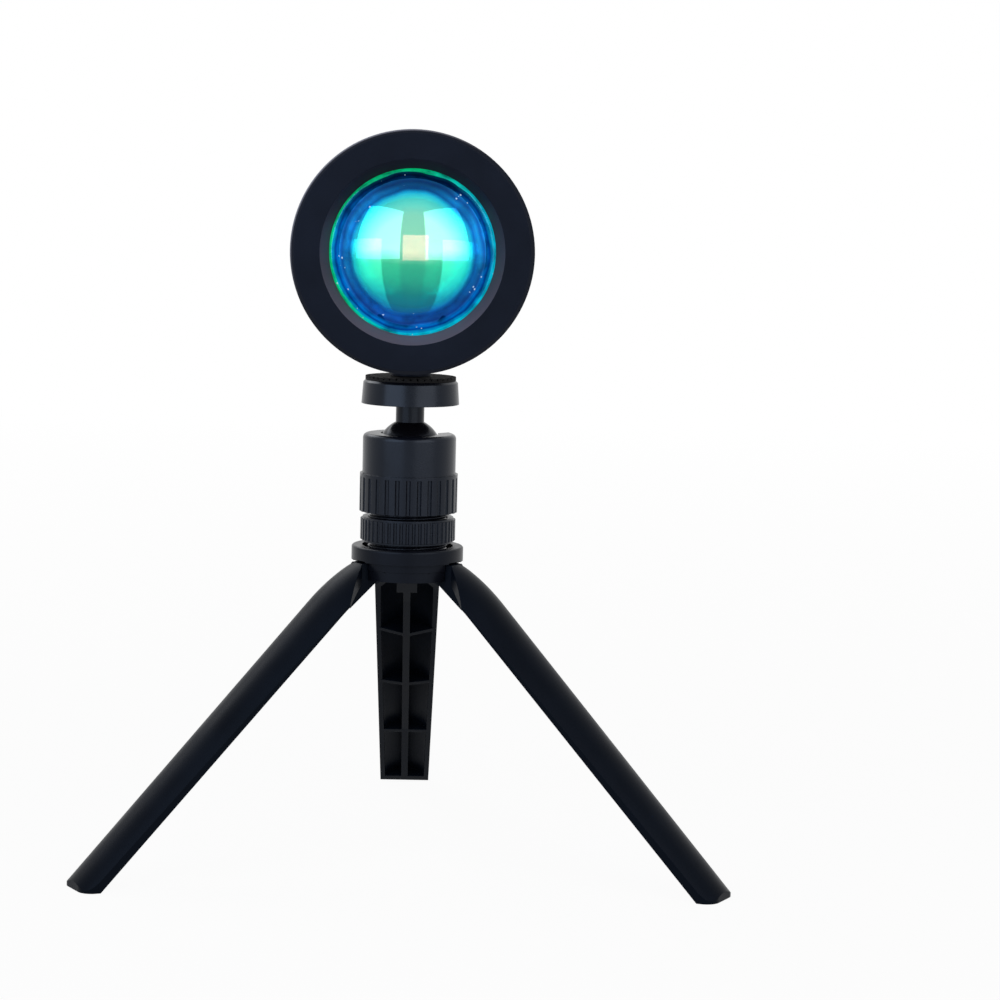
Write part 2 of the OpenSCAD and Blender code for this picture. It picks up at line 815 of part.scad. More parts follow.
module board_screws() {
    color([0.7, 0.7, 0.72]) at_head() at_board_screws() {
        translate([0, 0, chip_z]) cylinder(r = screw_head_r, h = screw_head_h);
        translate([0, 0, board_z - screw_depth])
            cylinder(r = screw_r, h = screw_depth + board_t + screw_head_h);
    }
}

module heat_sink() {
    color([0.12, 0.12, 0.13]) at_head() difference() {
        union() {
            translate([0, 0, sink_z]) cylinder(r = sink_plate_r, h = sink_plate_t);
            translate([0, 0, -housing_back]) cylinder(r = nose_r, h = housing_floor);
            translate([0, 0, -sink_back]) cylinder(r = sink_core_r, h = sink_back + plate_top);
            for (i = [0 : fins])
                translate([0, 0, -fin_first - i * fin_pitch - fin_t]) cylinder(r = fin_r, h = fin_t);
        }
        translate([0, 0, -sink_back - cut]) cylinder(r = lead_bore, h = sink_back + plate_top + 2 * cut);
        at_board_screws() translate([0, 0, board_z - screw_depth - stud_tip])
            cylinder(r = screw_r + seat_gap, h = screw_depth + stud_tip + cut);
        at_cover_screws() translate([0, 0, -sink_back - cut])
            cylinder(r = screw_r + seat_gap, h = fin_t + 2 * cut);
    }
}

module led_leads() {
    color([0.8, 0.1, 0.1]) at_head() around(leads)
        translate([lead_bore / 2, 0, driver_z]) cylinder(r = lead_r, h = board_z - driver_z);
}

module driver_board() {
    color([0.05, 0.3, 0.12]) at_head() difference() {
        translate([0, 0, driver_z - board_t]) cylinder(r = driver_r, h = board_t);
        at_cover_screws() translate([0, 0, driver_z - board_t - cut])
            cylinder(r = post_r + driver_gap, h = board_t + 2 * cut);
    }
}

module ir_receiver() {
    color([0.1, 0.1, 0.1]) at_head()
        translate([-receiver[0] / 2, part_up - receiver[1] / 2, driver_z - board_t - receiver[2]])
            cube(receiver);
}

module ir_window() {
    color([0.25, 0.02, 0.04]) at_head() translate([0, part_up, -cover_back])
        cylinder(r = window_r, h = cover_wall);
}

module cable_grommet() {
    color([0.05, 0.05, 0.05]) at_head() translate([0, -grommet_down, -cover_back]) difference() {
        union() {
            translate([0, 0, -grommet_flange]) cylinder(r = grommet_rim_r, h = grommet_flange);
            translate([0, 0, -grommet_flange])
                cylinder(r = grommet_groove_r, h = cover_wall + 2 * grommet_flange);
            translate([0, 0, cover_wall]) cylinder(r = grommet_rim_r, h = grommet_flange);
        }
        translate([0, 0, -grommet_flange - cut])
            cylinder(r = cable_r, h = cover_wall + 2 * (grommet_flange + cut));
    }
}

module rear_cover() {
    color(housing_black) at_head() translate([0, 0, -cover_back]) difference() {
        union() {
            difference() {
                round_foot(fin_r, cover_h, cover_edge);
                translate([0, 0, cover_wall]) cylinder(r = cover_in, h = cover_h);
            }
            at_cover_screws() {
                cylinder(r = post_r, h = cover_h);
                cylinder(r = shelf_r, h = cover_back + driver_z - board_t);
            }
        }
        at_cover_screws() translate([0, 0, -cut]) {
            cylinder(r = screw_r + seat_gap, h = cover_h + 2 * cut);
            cylinder(r = screw_head_r + seat_gap, h = screw_head_h + cut);
        }
        translate([0, part_up, -cut]) cylinder(r = window_r + seat_gap, h = cover_wall + 2 * cut);
        translate([0, -grommet_down, -cut])
            cylinder(r = grommet_groove_r + seat_gap, h = cover_wall + 2 * cut);
    }
}

module cover_screws() {
    color([0.3, 0.3, 0.32]) at_head() at_cover_screws() translate([0, 0, -cover_back]) {
        cylinder(r = screw_head_r, h = screw_head_h);
        cylinder(r = screw_r, h = cover_h + fin_t);
    }
}

tripod_hub();
hub_base();
hub_screw();
hinge_pins();
leg_left();
leg_right();
leg_back();
socket_core();
lock_ring();
clamp_sleeve();
ball_seat();
ball_stud();
platform_disc();
platform_pad();
lamp_housing();
thread_insert();
front_bezel();
lens();
lens_gasket();
lens_retainer();
reflector();
led_chip();
led_board();
board_screws();
heat_sink();
led_leads();
driver_board();
ir_receiver();
ir_window();
cable_grommet();
rear_cover();
cover_screws();
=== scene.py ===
# %% [markdown]
# # A projection lamp on a folding pocket tripod
#
# The lamp is a round head with a domed, coated lens, on a tripod with a ball head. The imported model
# already holds every moulded shell, leg and screw at its real size. This lesson dresses it: it
# works out the surfaces whose shine depends on a perfect curve, gives each piece a finish, and sets
# the object in a plain studio.

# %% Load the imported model
import math

import bpy
import numpy as np
from mathutils import Matrix, Vector


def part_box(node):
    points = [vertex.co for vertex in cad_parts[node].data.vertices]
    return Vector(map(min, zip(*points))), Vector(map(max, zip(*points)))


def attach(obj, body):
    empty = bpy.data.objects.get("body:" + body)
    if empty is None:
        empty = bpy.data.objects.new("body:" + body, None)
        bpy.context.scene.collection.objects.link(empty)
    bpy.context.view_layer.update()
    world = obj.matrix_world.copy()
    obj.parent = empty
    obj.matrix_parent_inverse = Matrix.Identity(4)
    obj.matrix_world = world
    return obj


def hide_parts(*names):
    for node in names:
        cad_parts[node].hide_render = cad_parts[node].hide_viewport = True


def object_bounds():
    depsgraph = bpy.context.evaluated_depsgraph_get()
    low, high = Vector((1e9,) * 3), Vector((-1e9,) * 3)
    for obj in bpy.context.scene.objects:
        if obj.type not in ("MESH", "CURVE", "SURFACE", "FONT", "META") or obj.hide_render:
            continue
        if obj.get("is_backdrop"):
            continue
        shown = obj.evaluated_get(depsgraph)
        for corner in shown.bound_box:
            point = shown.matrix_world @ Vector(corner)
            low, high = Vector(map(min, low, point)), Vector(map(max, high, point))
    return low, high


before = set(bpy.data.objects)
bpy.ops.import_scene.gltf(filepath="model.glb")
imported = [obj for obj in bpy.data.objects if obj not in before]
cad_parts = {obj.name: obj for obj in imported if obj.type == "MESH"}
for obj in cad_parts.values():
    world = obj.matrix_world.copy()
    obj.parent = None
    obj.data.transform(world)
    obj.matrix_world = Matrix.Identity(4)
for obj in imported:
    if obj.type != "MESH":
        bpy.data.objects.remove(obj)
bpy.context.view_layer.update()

MM = 0.001

# %% [markdown]
# ## Where things are
#
# The tripod's axis runs through the middle of the socket core, and the lamp's axis through the
# middle of the lens. A node's box gives both, so the pieces made below stay on their seats if the
# model changes.

# %% Axes and seats, read from the model
def middle(node):
    """The middle of a node's box, as a numpy point."""
    low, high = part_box(node)
    return (np.array(low) + np.array(high)) / 2


def half_size(node):
    """Half the size of a node's box along X, Y and Z."""
    low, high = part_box(node)
    return (np.array(high) - np.array(low)) / 2


TRIPOD_X, TRIPOD_Y = middle("socket_core")[:2]
LAMP_X, _, LAMP_Z = middle("lens")
print("tripod axis at", round(TRIPOD_X / MM, 2), round(TRIPOD_Y / MM, 2))
print("lamp axis at height", round(LAMP_Z / MM, 2))

# %% [markdown]
# ## Surfaces of revolution
#
# Lens, thread and screw heads are all turned forms. One function carries a grid of points round an
# axis and closes it with a single vertex at each end. The grid has its rows along the profile and
# its columns round the axis, so the faces follow from the row and column numbers alone.

# %% A closed mesh from a grid of points
def closed_grid(name, grid, first_pole, last_pole):
    """Mesh of a grid (rows, columns, 3) that wraps round in its columns, with a pole at each end.

    Each face joins four neighbours, row i and i + 1, column j and j + 1. If the enclosed volume,
    one sixth of the sum of the corner triple products, is negative, all faces are turned round.
    """
    rows, columns = grid.shape[:2]
    points = np.vstack([grid.reshape(-1, 3), first_pole, last_pole])
    start = np.arange(rows * columns).reshape(rows, columns)
    beside = np.roll(start, -1, axis=1)
    quads = np.stack([start[:-1], beside[:-1], beside[1:], start[1:]], axis=-1).reshape(-1, 4)
    first, last = rows * columns, rows * columns + 1
    fan_start = np.stack([np.full(columns, first), beside[0], start[0]], axis=-1)
    fan_end = np.stack([np.full(columns, last), start[-1], beside[-1]], axis=-1)
    triangles = np.vstack([quads[:, [0, 1, 2]], quads[:, [0, 2, 3]], fan_start, fan_end])
    a, b, c = (points[triangles[:, k]] for k in range(3))
    volume = np.einsum("ij,ij->i", a, np.cross(b, c)).sum() / 6
    if volume < 0:
        quads, fan_start, fan_end = quads[:, ::-1], fan_start[:, ::-1], fan_end[:, ::-1]
    mesh = bpy.data.meshes.new(name)
    mesh.from_pydata(points.tolist(), [], quads.tolist() + fan_start.tolist() + fan_end.tolist())
    mesh.shade_smooth()
    piece = bpy.data.objects.new(name, mesh)
    bpy.context.scene.collection.objects.link(piece)
    print(name, "faces", len(mesh.polygons), "volume in mm3", round(abs(volume) / MM**3, 1))
    return piece


def round_y(profile, columns, x, z):
    """Carries a profile of (radius, y) round the axis through x and z that runs along Y."""
    turn = np.linspace(0, 2 * np.pi, columns, endpoint=False)
    radius, along = profile[:, :1], profile[:, 1:]
    return np.stack(
        [x + radius * np.cos(turn), along + 0 * turn, z + radius * np.sin(turn)], axis=-1
    )


def arc(centre, radius, start, end, count):
    """Points on a circle round centre, between two angles in degrees."""
    angle = np.radians(np.linspace(start, end, count))
    return np.array(centre) + radius * np.stack([np.cos(angle), np.sin(angle)], axis=-1)


# %% [markdown]
# ## The lens
#
# A lens of this kind is one piece of pressed glass: a dome over a flat back, with a thin flange that
# the bezel holds. A mirror shows every facet of a coarse mesh, so the dome is worked out afresh as an
# arc with many rows, and the flange gets small rounded corners, as pressed glass has. Apex, rim and
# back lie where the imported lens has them, and it takes that lens's place.

# %% Lens
DOME_BASE = 19.6 * MM
DOME_STEP = 3 * MM
DOME_EDGE = 0.7 * MM
FLANGE_DEPTH = 2 * MM
GLASS_CORNER = 0.25 * MM
APEX_TURN = 0.5
DOME_ROWS, EDGE_ROWS, CORNER_ROWS, LENS_COLUMNS = 72, 12, 5, 192
BACK_ROWS = (0.75, 0.4, 0.1)


def lens_profile():
    """Radius and y from the apex out over the dome, down its wall, round the flange, to the back.

    The dome's radius is (height^2 + base^2) / (2 height), and its centre lies that far behind the
    apex. Its edge is a small arc that touches dome and wall: the arc's centre is one edge radius
    inside both, so it lies dome radius less edge radius from the dome's centre.
    """
    low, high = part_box("lens")
    apex, back = low[1], high[1]
    flange = half_size("lens")[0]
    height = back - DOME_STEP - apex
    dome_radius = (height**2 + DOME_BASE**2) / (2 * height)
    edge_out = DOME_BASE - DOME_EDGE
    edge_deep = apex + dome_radius - math.sqrt((dome_radius - DOME_EDGE) ** 2 - edge_out**2)
    opening = math.degrees(math.asin(edge_out / (dome_radius - DOME_EDGE)))
    centre = (0, apex + dome_radius)
    dome = arc(centre, dome_radius, -90 + APEX_TURN, -90 + opening, DOME_ROWS)
    edge = arc((edge_out, edge_deep), DOME_EDGE, -90 + opening, 0, EDGE_ROWS)[1:]
    print("dome radius in mm:", round(dome_radius / MM, 2))
    step = back - FLANGE_DEPTH
    wall = np.array([[DOME_BASE, step - GLASS_CORNER]])
    corner_out = flange - GLASS_CORNER
    front = arc((corner_out, step + GLASS_CORNER), GLASS_CORNER, -90, 0, CORNER_ROWS)
    rear = arc((corner_out, back - GLASS_CORNER), GLASS_CORNER, 0, 90, CORNER_ROWS)
    flat = np.array([[share * flange, back] for share in BACK_ROWS])
    return np.vstack([dome, edge, wall, front, rear, flat])


low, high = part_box("lens")
lens = closed_grid(
    "lens_glass",
    round_y(lens_profile(), LENS_COLUMNS, LAMP_X, LAMP_Z),
    (LAMP_X, low[1], LAMP_Z),
    (LAMP_X, high[1], LAMP_Z),
)
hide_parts("lens")
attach(lens, "lamp_head")

# %% [markdown]
# ## The threaded core
#
# Lock ring and clamp sleeve both turn on one thread, and a little of it shows in the gaps above and
# below the ring. A screw thread is a function of two parameters: the crest climbs by one pitch each
# turn, so the radius depends on the height less the share of the turn.

# %% Threaded core
THREAD_PITCH = 1.25 * MM
THREAD_DEPTH = 0.55 * MM
FLANK_SLOPE = 1.6
CREST_CUT = 0.3


def thread_grid(columns=96, rows_per_pitch=10):
    """Radius = core radius less the depth times a cut triangle wave of (height / pitch - turn).

    The wave is the flank's slope times the triangle, less what the flat crest cuts off, kept
    within 0 and 1. Near both ends it fades out over half a pitch, so that the thread starts and
    stops clean.
    """
    low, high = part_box("socket_core")
    core = half_size("socket_core")[0]
    rows = int((high[2] - low[2]) / THREAD_PITCH * rows_per_pitch)
    height = np.linspace(low[2], high[2], rows)[:, None]
    turn = np.linspace(0, 1, columns, endpoint=False)[None, :]
    phase = ((height - low[2]) / THREAD_PITCH - turn) % 1
    wave = np.clip(FLANK_SLOPE * np.abs(2 * phase - 1) - CREST_CUT, 0, 1)
    from_end = np.minimum(height - low[2], high[2] - height)
    radius = core - THREAD_DEPTH * wave * np.clip(2 * from_end / THREAD_PITCH, 0, 1)
    angle = 2 * np.pi * turn
    x = TRIPOD_X + radius * np.cos(angle)
    y = TRIPOD_Y + radius * np.sin(angle)
    return np.stack([x, y, height + 0 * x], axis=-1)


low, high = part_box("socket_core")
thread = closed_grid(
    "core_thread", thread_grid(), (TRIPOD_X, TRIPOD_Y, low[2]), (TRIPOD_X, TRIPOD_Y, high[2])
)
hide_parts("socket_core")
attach(thread, "tripod")

# %% [markdown]
# ## Cross-recess screws at the back
#
# Three pan-head screws hold the rear cover. Their heads are seen from behind, so each gets a
# cambered head with a cross recess. The head is a height over a disc: the camber falls with the
# square of the radius, and the recess is cut where a point lies within the arms of the cross.

# %% Rear screws
HEAD_CAMBER = 0.25 * MM
HEAD_HEIGHT = 1.2 * MM
HEAD_RADIUS = 2.2 * MM
FACE_SHARE = 0.97
FACE_ROWS = np.linspace(0.04, 1, 22) ** 0.8
SHAFT_RADIUS = 1.25 * MM
RECESS_ARM = 0.32 * MM
RECESS_REACH = 1.35 * MM
RECESS_DEPTH = 0.8 * MM
ARM_SLOPE, REACH_SLOPE, EDGE_FALL = 0.4, 0.3, 1.6
SCREW_SECTORS = (330, 90, 210)


def screw_places(node):
    """Splits the vertices by their angle round the lamp's axis, and takes each part's middle."""
    points = np.array([v.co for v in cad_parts[node].data.vertices])
    angle = np.degrees(np.arctan2(points[:, 2] - LAMP_Z, points[:, 0] - LAMP_X)) % 360
    parts = [points[(angle - start) % 360 < 360 / len(SCREW_SECTORS)] for start in SCREW_SECTORS]
    return [(part.min(axis=0) + part.max(axis=0)) / 2 for part in parts]


def screw_grid(x, z, front, back, columns=72):
    """Rows run from the middle of the head out, over the edge, under the head and down the shaft.

    Depth of the recess = full depth times a smooth step across the arm, times a step at its reach.
    """
    across = FACE_ROWS * HEAD_RADIUS * FACE_SHARE
    turn = np.linspace(0, 2 * np.pi, columns, endpoint=False)
    u, v = across[:, None] * np.cos(turn), across[:, None] * np.sin(turn)
    off_arm = np.minimum(np.abs(u), np.abs(v))
    in_arm = np.clip((RECESS_ARM - off_arm) / (ARM_SLOPE * RECESS_ARM) + 0.5, 0, 1)
    in_reach = np.clip((RECESS_REACH - across) / (REACH_SLOPE * RECESS_REACH), 0, 1)[:, None]
    camber = HEAD_CAMBER * (across / HEAD_RADIUS)[:, None] ** 2
    y = back - camber - RECESS_DEPTH * in_arm * in_reach
    top = np.stack([x + u, y, z + v], axis=-1)
    edge = np.array([
        [HEAD_RADIUS, back - EDGE_FALL * HEAD_CAMBER], [HEAD_RADIUS, back - HEAD_HEIGHT],
        [SHAFT_RADIUS, back - HEAD_HEIGHT], [SHAFT_RADIUS, front],
    ])
    return np.vstack([top, round_y(edge, columns, x, z)])


low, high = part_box("cover_screws")
for number, (x, _, z) in enumerate(screw_places("cover_screws"), start=1):
    grid = screw_grid(x, z, low[1], high[1])
    centre_y = grid[0, :, 1].mean()
    screw = closed_grid(f"rear_screw_{number}", grid, (x, centre_y, z), (x, low[1], z))
    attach(screw, "lamp_head")
    if number == 1:
        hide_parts("cover_screws")

# %% [markdown]
# ## The light source
#
# The photograph shows a pale square behind the lens. It is taken for a chip-on-board source: a
# ceramic plate with a raised, slightly domed yellow layer, which the lens magnifies. The layer sits a
# little below the middle of its plate, which brings its image to where the photograph has it. A
# superellipse gives the square with rounded corners: the radius in each direction is that at which
# |cos|^n + |sin|^n reaches one.

# %% Light source
PLATE_SHARE = 0.45
YELLOW_SHARE = 0.16
YELLOW_FOOT = YELLOW_SHARE + 0.01
YELLOW_DROP = 0.8 * MM
SQUARENESS = 9


def chip_grid(columns=96):
    """Rounded square rows: a plate at full size, then the yellow layer a little lower down."""
    low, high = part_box("led_chip")
    half = half_size("led_chip")[0]
    centre = middle("led_chip")
    turn = np.linspace(0, 2 * np.pi, columns, endpoint=False)
    powers = np.abs(np.cos(turn)) ** SQUARENESS + np.abs(np.sin(turn)) ** SQUARENESS
    reach = powers ** (-1 / SQUARENESS)
    depth = high[1] - low[1]
    plate = high[1] - PLATE_SHARE * depth
    share = np.array([
        (0.999, high[1]), (1.0, high[1] - 0.1 * depth), (1.0, plate + 0.1 * depth), (0.98, plate),
        (YELLOW_FOOT, plate), (YELLOW_SHARE, low[1] + 0.3 * depth),
        (0.9 * YELLOW_SHARE, low[1] + 0.1 * depth), (0.7 * YELLOW_SHARE, low[1]),
        (0.3 * YELLOW_SHARE, low[1]),
    ])
    radius = half * share[:, :1] * reach
    x = centre[0] + radius * np.cos(turn)
    drop = np.where(share[:, :1] < 2 * YELLOW_SHARE, YELLOW_DROP, 0.0)
    z = centre[2] - drop + radius * np.sin(turn)
    return np.stack([x, share[:, 1:] + 0 * x, z], axis=-1)


low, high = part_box("led_chip")
chip = closed_grid(
    "light_chip", chip_grid(), (LAMP_X, high[1], LAMP_Z), (LAMP_X, low[1], LAMP_Z - YELLOW_DROP)
)
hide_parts("led_chip")
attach(chip, "lamp_head")

# %% [markdown]
# ## Building materials
#
# Every finish is a small node tree on a Principled shader. A few helpers keep the trees short. One
# adds a node with its inputs, linked or set, one starts a material, and the others give a single
# node's result or a short chain that comes up often.

# %% Helpers that add nodes and start trees
def add(tree, kind, inputs=None, **settings):
    """Adds a node, sets its settings, and links or sets each named or numbered input."""
    made = tree.nodes.new(kind)
    for name, value in settings.items():
        setattr(made, name, value)
    for name, value in (inputs or {}).items():
        if isinstance(value, bpy.types.NodeSocket):
            tree.links.new(value, made.inputs[name])
        else:
            made.inputs[name].default_value = value
    return made


def new_group(name, inputs, outputs):
    """Starts a node group. inputs holds (name, default), outputs holds (name, socket type)."""
    tree = bpy.data.node_groups.new(name, "ShaderNodeTree")
    for label, value in inputs:
        socket = tree.interface.new_socket(label, in_out="INPUT", socket_type="NodeSocketFloat")
        socket.default_value = value
    for label, kind in outputs:
        tree.interface.new_socket(label, in_out="OUTPUT", socket_type=kind)
    return tree, add(tree, "NodeGroupInput").outputs, add(tree, "NodeGroupOutput").inputs


def start_material(name):
    """A material with one Principled shader. Returns the material, its tree and the shader."""
    material = bpy.data.materials.new(name)
    material.use_nodes = True
    tree = material.node_tree
    return material, tree, tree.nodes["Principled BSDF"]


# %% Helpers for numbers, places and colours
def maths(tree, operation, a, b=0.0, c=0.0):
    """One Math node's result."""
    return add(tree, "ShaderNodeMath", {0: a, 1: b, 2: c}, operation=operation).outputs[0]


def vector_maths(tree, operation, a, b=(0.0, 0.0, 0.0)):
    """One Vector Math node's result: a number for a dot product or a length, else a vector."""
    made = add(tree, "ShaderNodeVectorMath", {0: a, 1: b}, operation=operation)
    return made.outputs["Value" if operation in ("DOT_PRODUCT", "LENGTH") else "Vector"]


def span(tree, value, start, end, low=0.0, high=1.0):
    """The value's way from start to end, as a number from low to high."""
    return add(tree, "ShaderNodeMapRange", {
        "Value": value, "From Min": start, "From Max": end, "To Min": low, "To Max": high,
    }).outputs[0]


def noise(tree, place, scale, detail):
    """Noise over a place, with about scale waves to the metre."""
    inputs = {"Vector": place, "Scale": scale, "Detail": detail}
    return add(tree, "ShaderNodeTexNoise", inputs).outputs[0]


def object_place(tree):
    """The point's place in the object's own coordinates, which are metres from the origin."""
    return add(tree, "ShaderNodeTexCoord").outputs["Object"]


def from_axis(tree, centre, along):
    """The point's place, its offset from centre, and its distance from the axis through centre.

    The axis runs along X, Y or Z for 0, 1 or 2. The distance is the length of the offset without
    its part along the axis.
    """
    place = object_place(tree)
    offset = vector_maths(tree, "SUBTRACT", place, tuple(centre))
    keep = [0.0 if axis == along else 1.0 for axis in range(3)]
    return place, offset, vector_maths(tree, "LENGTH", vector_maths(tree, "MULTIPLY", offset, keep))


def blend_colour(tree, factor, a, b, way="MIX"):
    """Mixes two colours by a factor, or multiplies them."""
    made = add(tree, "ShaderNodeMix", {"Factor": factor}, data_type="RGBA", blend_type=way)
    for name, value in (("A", a), ("B", b)):
        socket = next(s for s in made.inputs if s.name == name and s.type == "RGBA")
        if isinstance(value, bpy.types.NodeSocket):
            tree.links.new(value, socket)
        else:
            socket.default_value = (*value, 1)
    return next(s for s in made.outputs if s.type == "RGBA")


def colour_ramp(tree, value, table):
    """Colour by a value, straight between the stops, each a position and a colour."""
    ramp = add(tree, "ShaderNodeValToRGB", {"Fac": value})
    stops = ramp.color_ramp.elements
    while len(stops) < len(table):
        stops.new(1.0)
    for stop, (position, colour) in zip(stops, table):
        stop.position, stop.color = position, (*colour, 1)
    return ramp.outputs["Color"]


# %% [markdown]
# ## Moulded grain
#
# Moulds for such parts are often spark-eroded, which leaves a fine even grain. On top of it lie slow
# changes of sheen from flow and handling. Both come from noise in Object coordinates, which keep
# their scale in metres on every piece.

# %% Group: moulded grain
CLOUD_SPAN = (0.3, 0.7)


def moulded_grain_group():
    """Grain = fine noise of the given size. Sheen = slow noise stretched to 0..1."""
    tree, given, out = new_group(
        "moulded_grain",
        [("Grain Size", 0.25 * MM), ("Cloud Size", 12 * MM)],
        [("Grain", "NodeSocketFloat"), ("Sheen", "NodeSocketFloat")],
    )
    place = object_place(tree)
    fine = noise(tree, place, maths(tree, "DIVIDE", 1.0, given["Grain Size"]), 2.0)
    slow = noise(tree, place, maths(tree, "DIVIDE", 1.0, given["Cloud Size"]), 3.0)
    tree.links.new(fine, out["Grain"])
    tree.links.new(span(tree, slow, *CLOUD_SPAN), out["Sheen"])
    return tree


MOULDED_GRAIN = moulded_grain_group()
print("group moulded_grain, nodes:", len(MOULDED_GRAIN.nodes))

# %% [markdown]
# ## Softened and rubbed edges
#
# No moulded edge is sharp. The Bevel node looks at the surface nearby and turns the normal as a
# small rounding would, on any mesh. Where that normal differs from the face's own there is an edge,
# and a mask from the difference lets handling rub the edge a little lighter.

# %% Group: rounded edges
BEVEL_SAMPLES = 4
EDGE_SPAN = (0.99, 0.85)
PATCH_SPAN = (0.35, 0.65)


def rounded_edges_group():
    """Wear = (1 - rounded normal . face normal), scaled up, broken by noise. Normal = rounded."""
    tree, given, out = new_group(
        "rounded_edges",
        [("Radius", 0.2 * MM), ("Patch Size", 1.5 * MM)],
        [("Normal", "NodeSocketVector"), ("Wear", "NodeSocketFloat")],
    )
    bevel = add(tree, "ShaderNodeBevel", {"Radius": given["Radius"]}, samples=BEVEL_SAMPLES)
    normal = bevel.outputs[0]
    face = add(tree, "ShaderNodeNewGeometry").outputs["Normal"]
    edge = span(tree, vector_maths(tree, "DOT_PRODUCT", normal, face), *EDGE_SPAN)
    patch = noise(tree, object_place(tree), maths(tree, "DIVIDE", 1.0, given["Patch Size"]), 3.0)
    tree.links.new(normal, out["Normal"])
    tree.links.new(maths(tree, "MULTIPLY", edge, span(tree, patch, *PATCH_SPAN)), out["Wear"])
    return tree


ROUNDED_EDGES = rounded_edges_group()
print("group rounded_edges, nodes:", len(ROUNDED_EDGES.nodes))

# %% [markdown]
# ## One recipe for moulded and coated finishes
#
# The black parts differ in colour, gloss and grain, not in kind. So one function makes them all,
# with real sizes for the grain and the rounding. Colour varies a little with the sheen, and the
# wear mask lightens the edges.

# %% Recipe: moulded finish
CLOUD_DARK, CLOUD_LIGHT = 0.82, 1.15
RUBBED_GAIN, RUBBED_LIFT = 2.6, 0.02
CLOUD_ROUGH, GRAIN_ROUGH = 0.1, 0.08


def moulded(name, colour, rough, grain=0.25, height=0.02, radius=0.2, wear=0.25, metal=0.0,
            shine=0.5, sheen=(1.0, 1.0, 1.0)):
    """Grain size, grain height and edge radius are in millimetres. wear is how much edges lighten.

    Roughness = rough, plus or minus half of CLOUD_ROUGH by the sheen and half of GRAIN_ROUGH by the
    grain.
    """
    material, tree, shader = start_material(name)
    texture = add(tree, "ShaderNodeGroup", node_tree=MOULDED_GRAIN)
    texture.inputs["Grain Size"].default_value = grain * MM
    edges = add(tree, "ShaderNodeGroup", node_tree=ROUNDED_EDGES)
    edges.inputs["Radius"].default_value = radius * MM
    darker = [CLOUD_DARK * c for c in colour]
    lighter = [min(1.0, CLOUD_LIGHT * c) for c in colour]
    rubbed = [min(1.0, RUBBED_GAIN * c + RUBBED_LIFT) for c in colour]
    plain = blend_colour(tree, texture.outputs["Sheen"], darker, lighter)
    worn = maths(tree, "MULTIPLY", edges.outputs["Wear"], wear)
    tree.links.new(blend_colour(tree, worn, plain, rubbed), shader.inputs["Base Color"])
    level = rough - CLOUD_ROUGH / 2
    clouded = maths(tree, "MULTIPLY_ADD", texture.outputs["Sheen"], CLOUD_ROUGH, level)
    speckled = maths(tree, "MULTIPLY_ADD", texture.outputs["Grain"], GRAIN_ROUGH, clouded)
    tree.links.new(maths(tree, "SUBTRACT", speckled, GRAIN_ROUGH / 2), shader.inputs["Roughness"])
    bump = add(tree, "ShaderNodeBump", {
        "Height": texture.outputs["Grain"], "Distance": height * MM,
        "Normal": edges.outputs["Normal"], "Strength": 1.0,
    })
    tree.links.new(bump.outputs[0], shader.inputs["Normal"])
    shader.inputs["Metallic"].default_value = metal
    shader.inputs["Specular IOR Level"].default_value = shine
    shader.inputs["Specular Tint"].default_value = (*sheen, 1)
    return material


# %% [markdown]
# ## The bezel
#
# The bezel's flat ring is matt black, and the bevel round the lens has a satin shine and a grey
# of its own, a shade lighter than the ring. Towards the bottom the grey gets lighter still, which
# is painted light, and the outer edge has a painted highlight at the upper left. Both belong to one
# piece, so one material tells them apart by the distance from the lamp's axis.

# %% Recipe: bezel
COOL_SHEEN = (0.65, 0.78, 1.0)
HEAD_COATING = {
    "colour": (0.004, 0.0055, 0.011), "rough": 0.4, "grain": 0.2, "height": 0.008,
    "shine": 0.085, "sheen": COOL_SHEEN,
}
LAMP_AXIS = (LAMP_X, 0.0, LAMP_Z)
BEVEL_OUTER = 21.95 * MM
# painted highlight: width of the light line on the outer edge
HIGHLIGHT_WIDTH = 0.45 * MM
# painted light: the satin grey at the top and at the bottom of the bevel
SATIN_SHADED_TOP = (0.012, 0.012, 0.018)
SATIN_LIT_BOTTOM = (0.085, 0.078, 0.095)
# painted highlight: grey of the light line on the outer edge
PAINTED_HIGHLIGHT_GREY = (0.2, 0.2, 0.24)
TO_UPPER_LEFT = (-0.8, 0.0, 1.0)


def bezel_coating():
    """The head's coating, mixed to a satin grey at distances from the axis under the bevel's.

    The grey gets lighter towards the bottom, which is painted light, and a painted highlight lies
    on the outer edge at the upper left.
    """
    material = moulded("bezel_coating", **HEAD_COATING)
    tree = material.node_tree
    shader = tree.nodes["Principled BSDF"]
    coated = shader.inputs["Base Color"].links[0].from_socket
    _, offset, reach = from_axis(tree, LAMP_AXIS, 1)
    sloped = maths(tree, "LESS_THAN", reach, BEVEL_OUTER)
    above = add(tree, "ShaderNodeSeparateXYZ", {0: offset}).outputs["Z"]
    # painted light: the satin grey gets lighter towards the bottom
    lit = span(tree, above, 0.6 * BEVEL_OUTER, -0.8 * BEVEL_OUTER)
    satin = blend_colour(tree, lit, SATIN_SHADED_TOP, SATIN_LIT_BOTTOM)
    ring = half_size("front_bezel")[0]
    # painted highlight: a light line on the outer edge at the upper left
    slant = vector_maths(tree, "DOT_PRODUCT", offset, TO_UPPER_LEFT)
    side = span(tree, slant, 0.3 * ring, 1.1 * ring)
    rim = span(tree, reach, ring - HIGHLIGHT_WIDTH, ring - 0.3 * HIGHLIGHT_WIDTH)
    edge = maths(tree, "MULTIPLY", rim, side)
    toned = blend_colour(tree, edge, blend_colour(tree, sloped, coated, satin), PAINTED_HIGHLIGHT_GREY)
    tree.links.new(toned, shader.inputs["Base Color"])
    return material
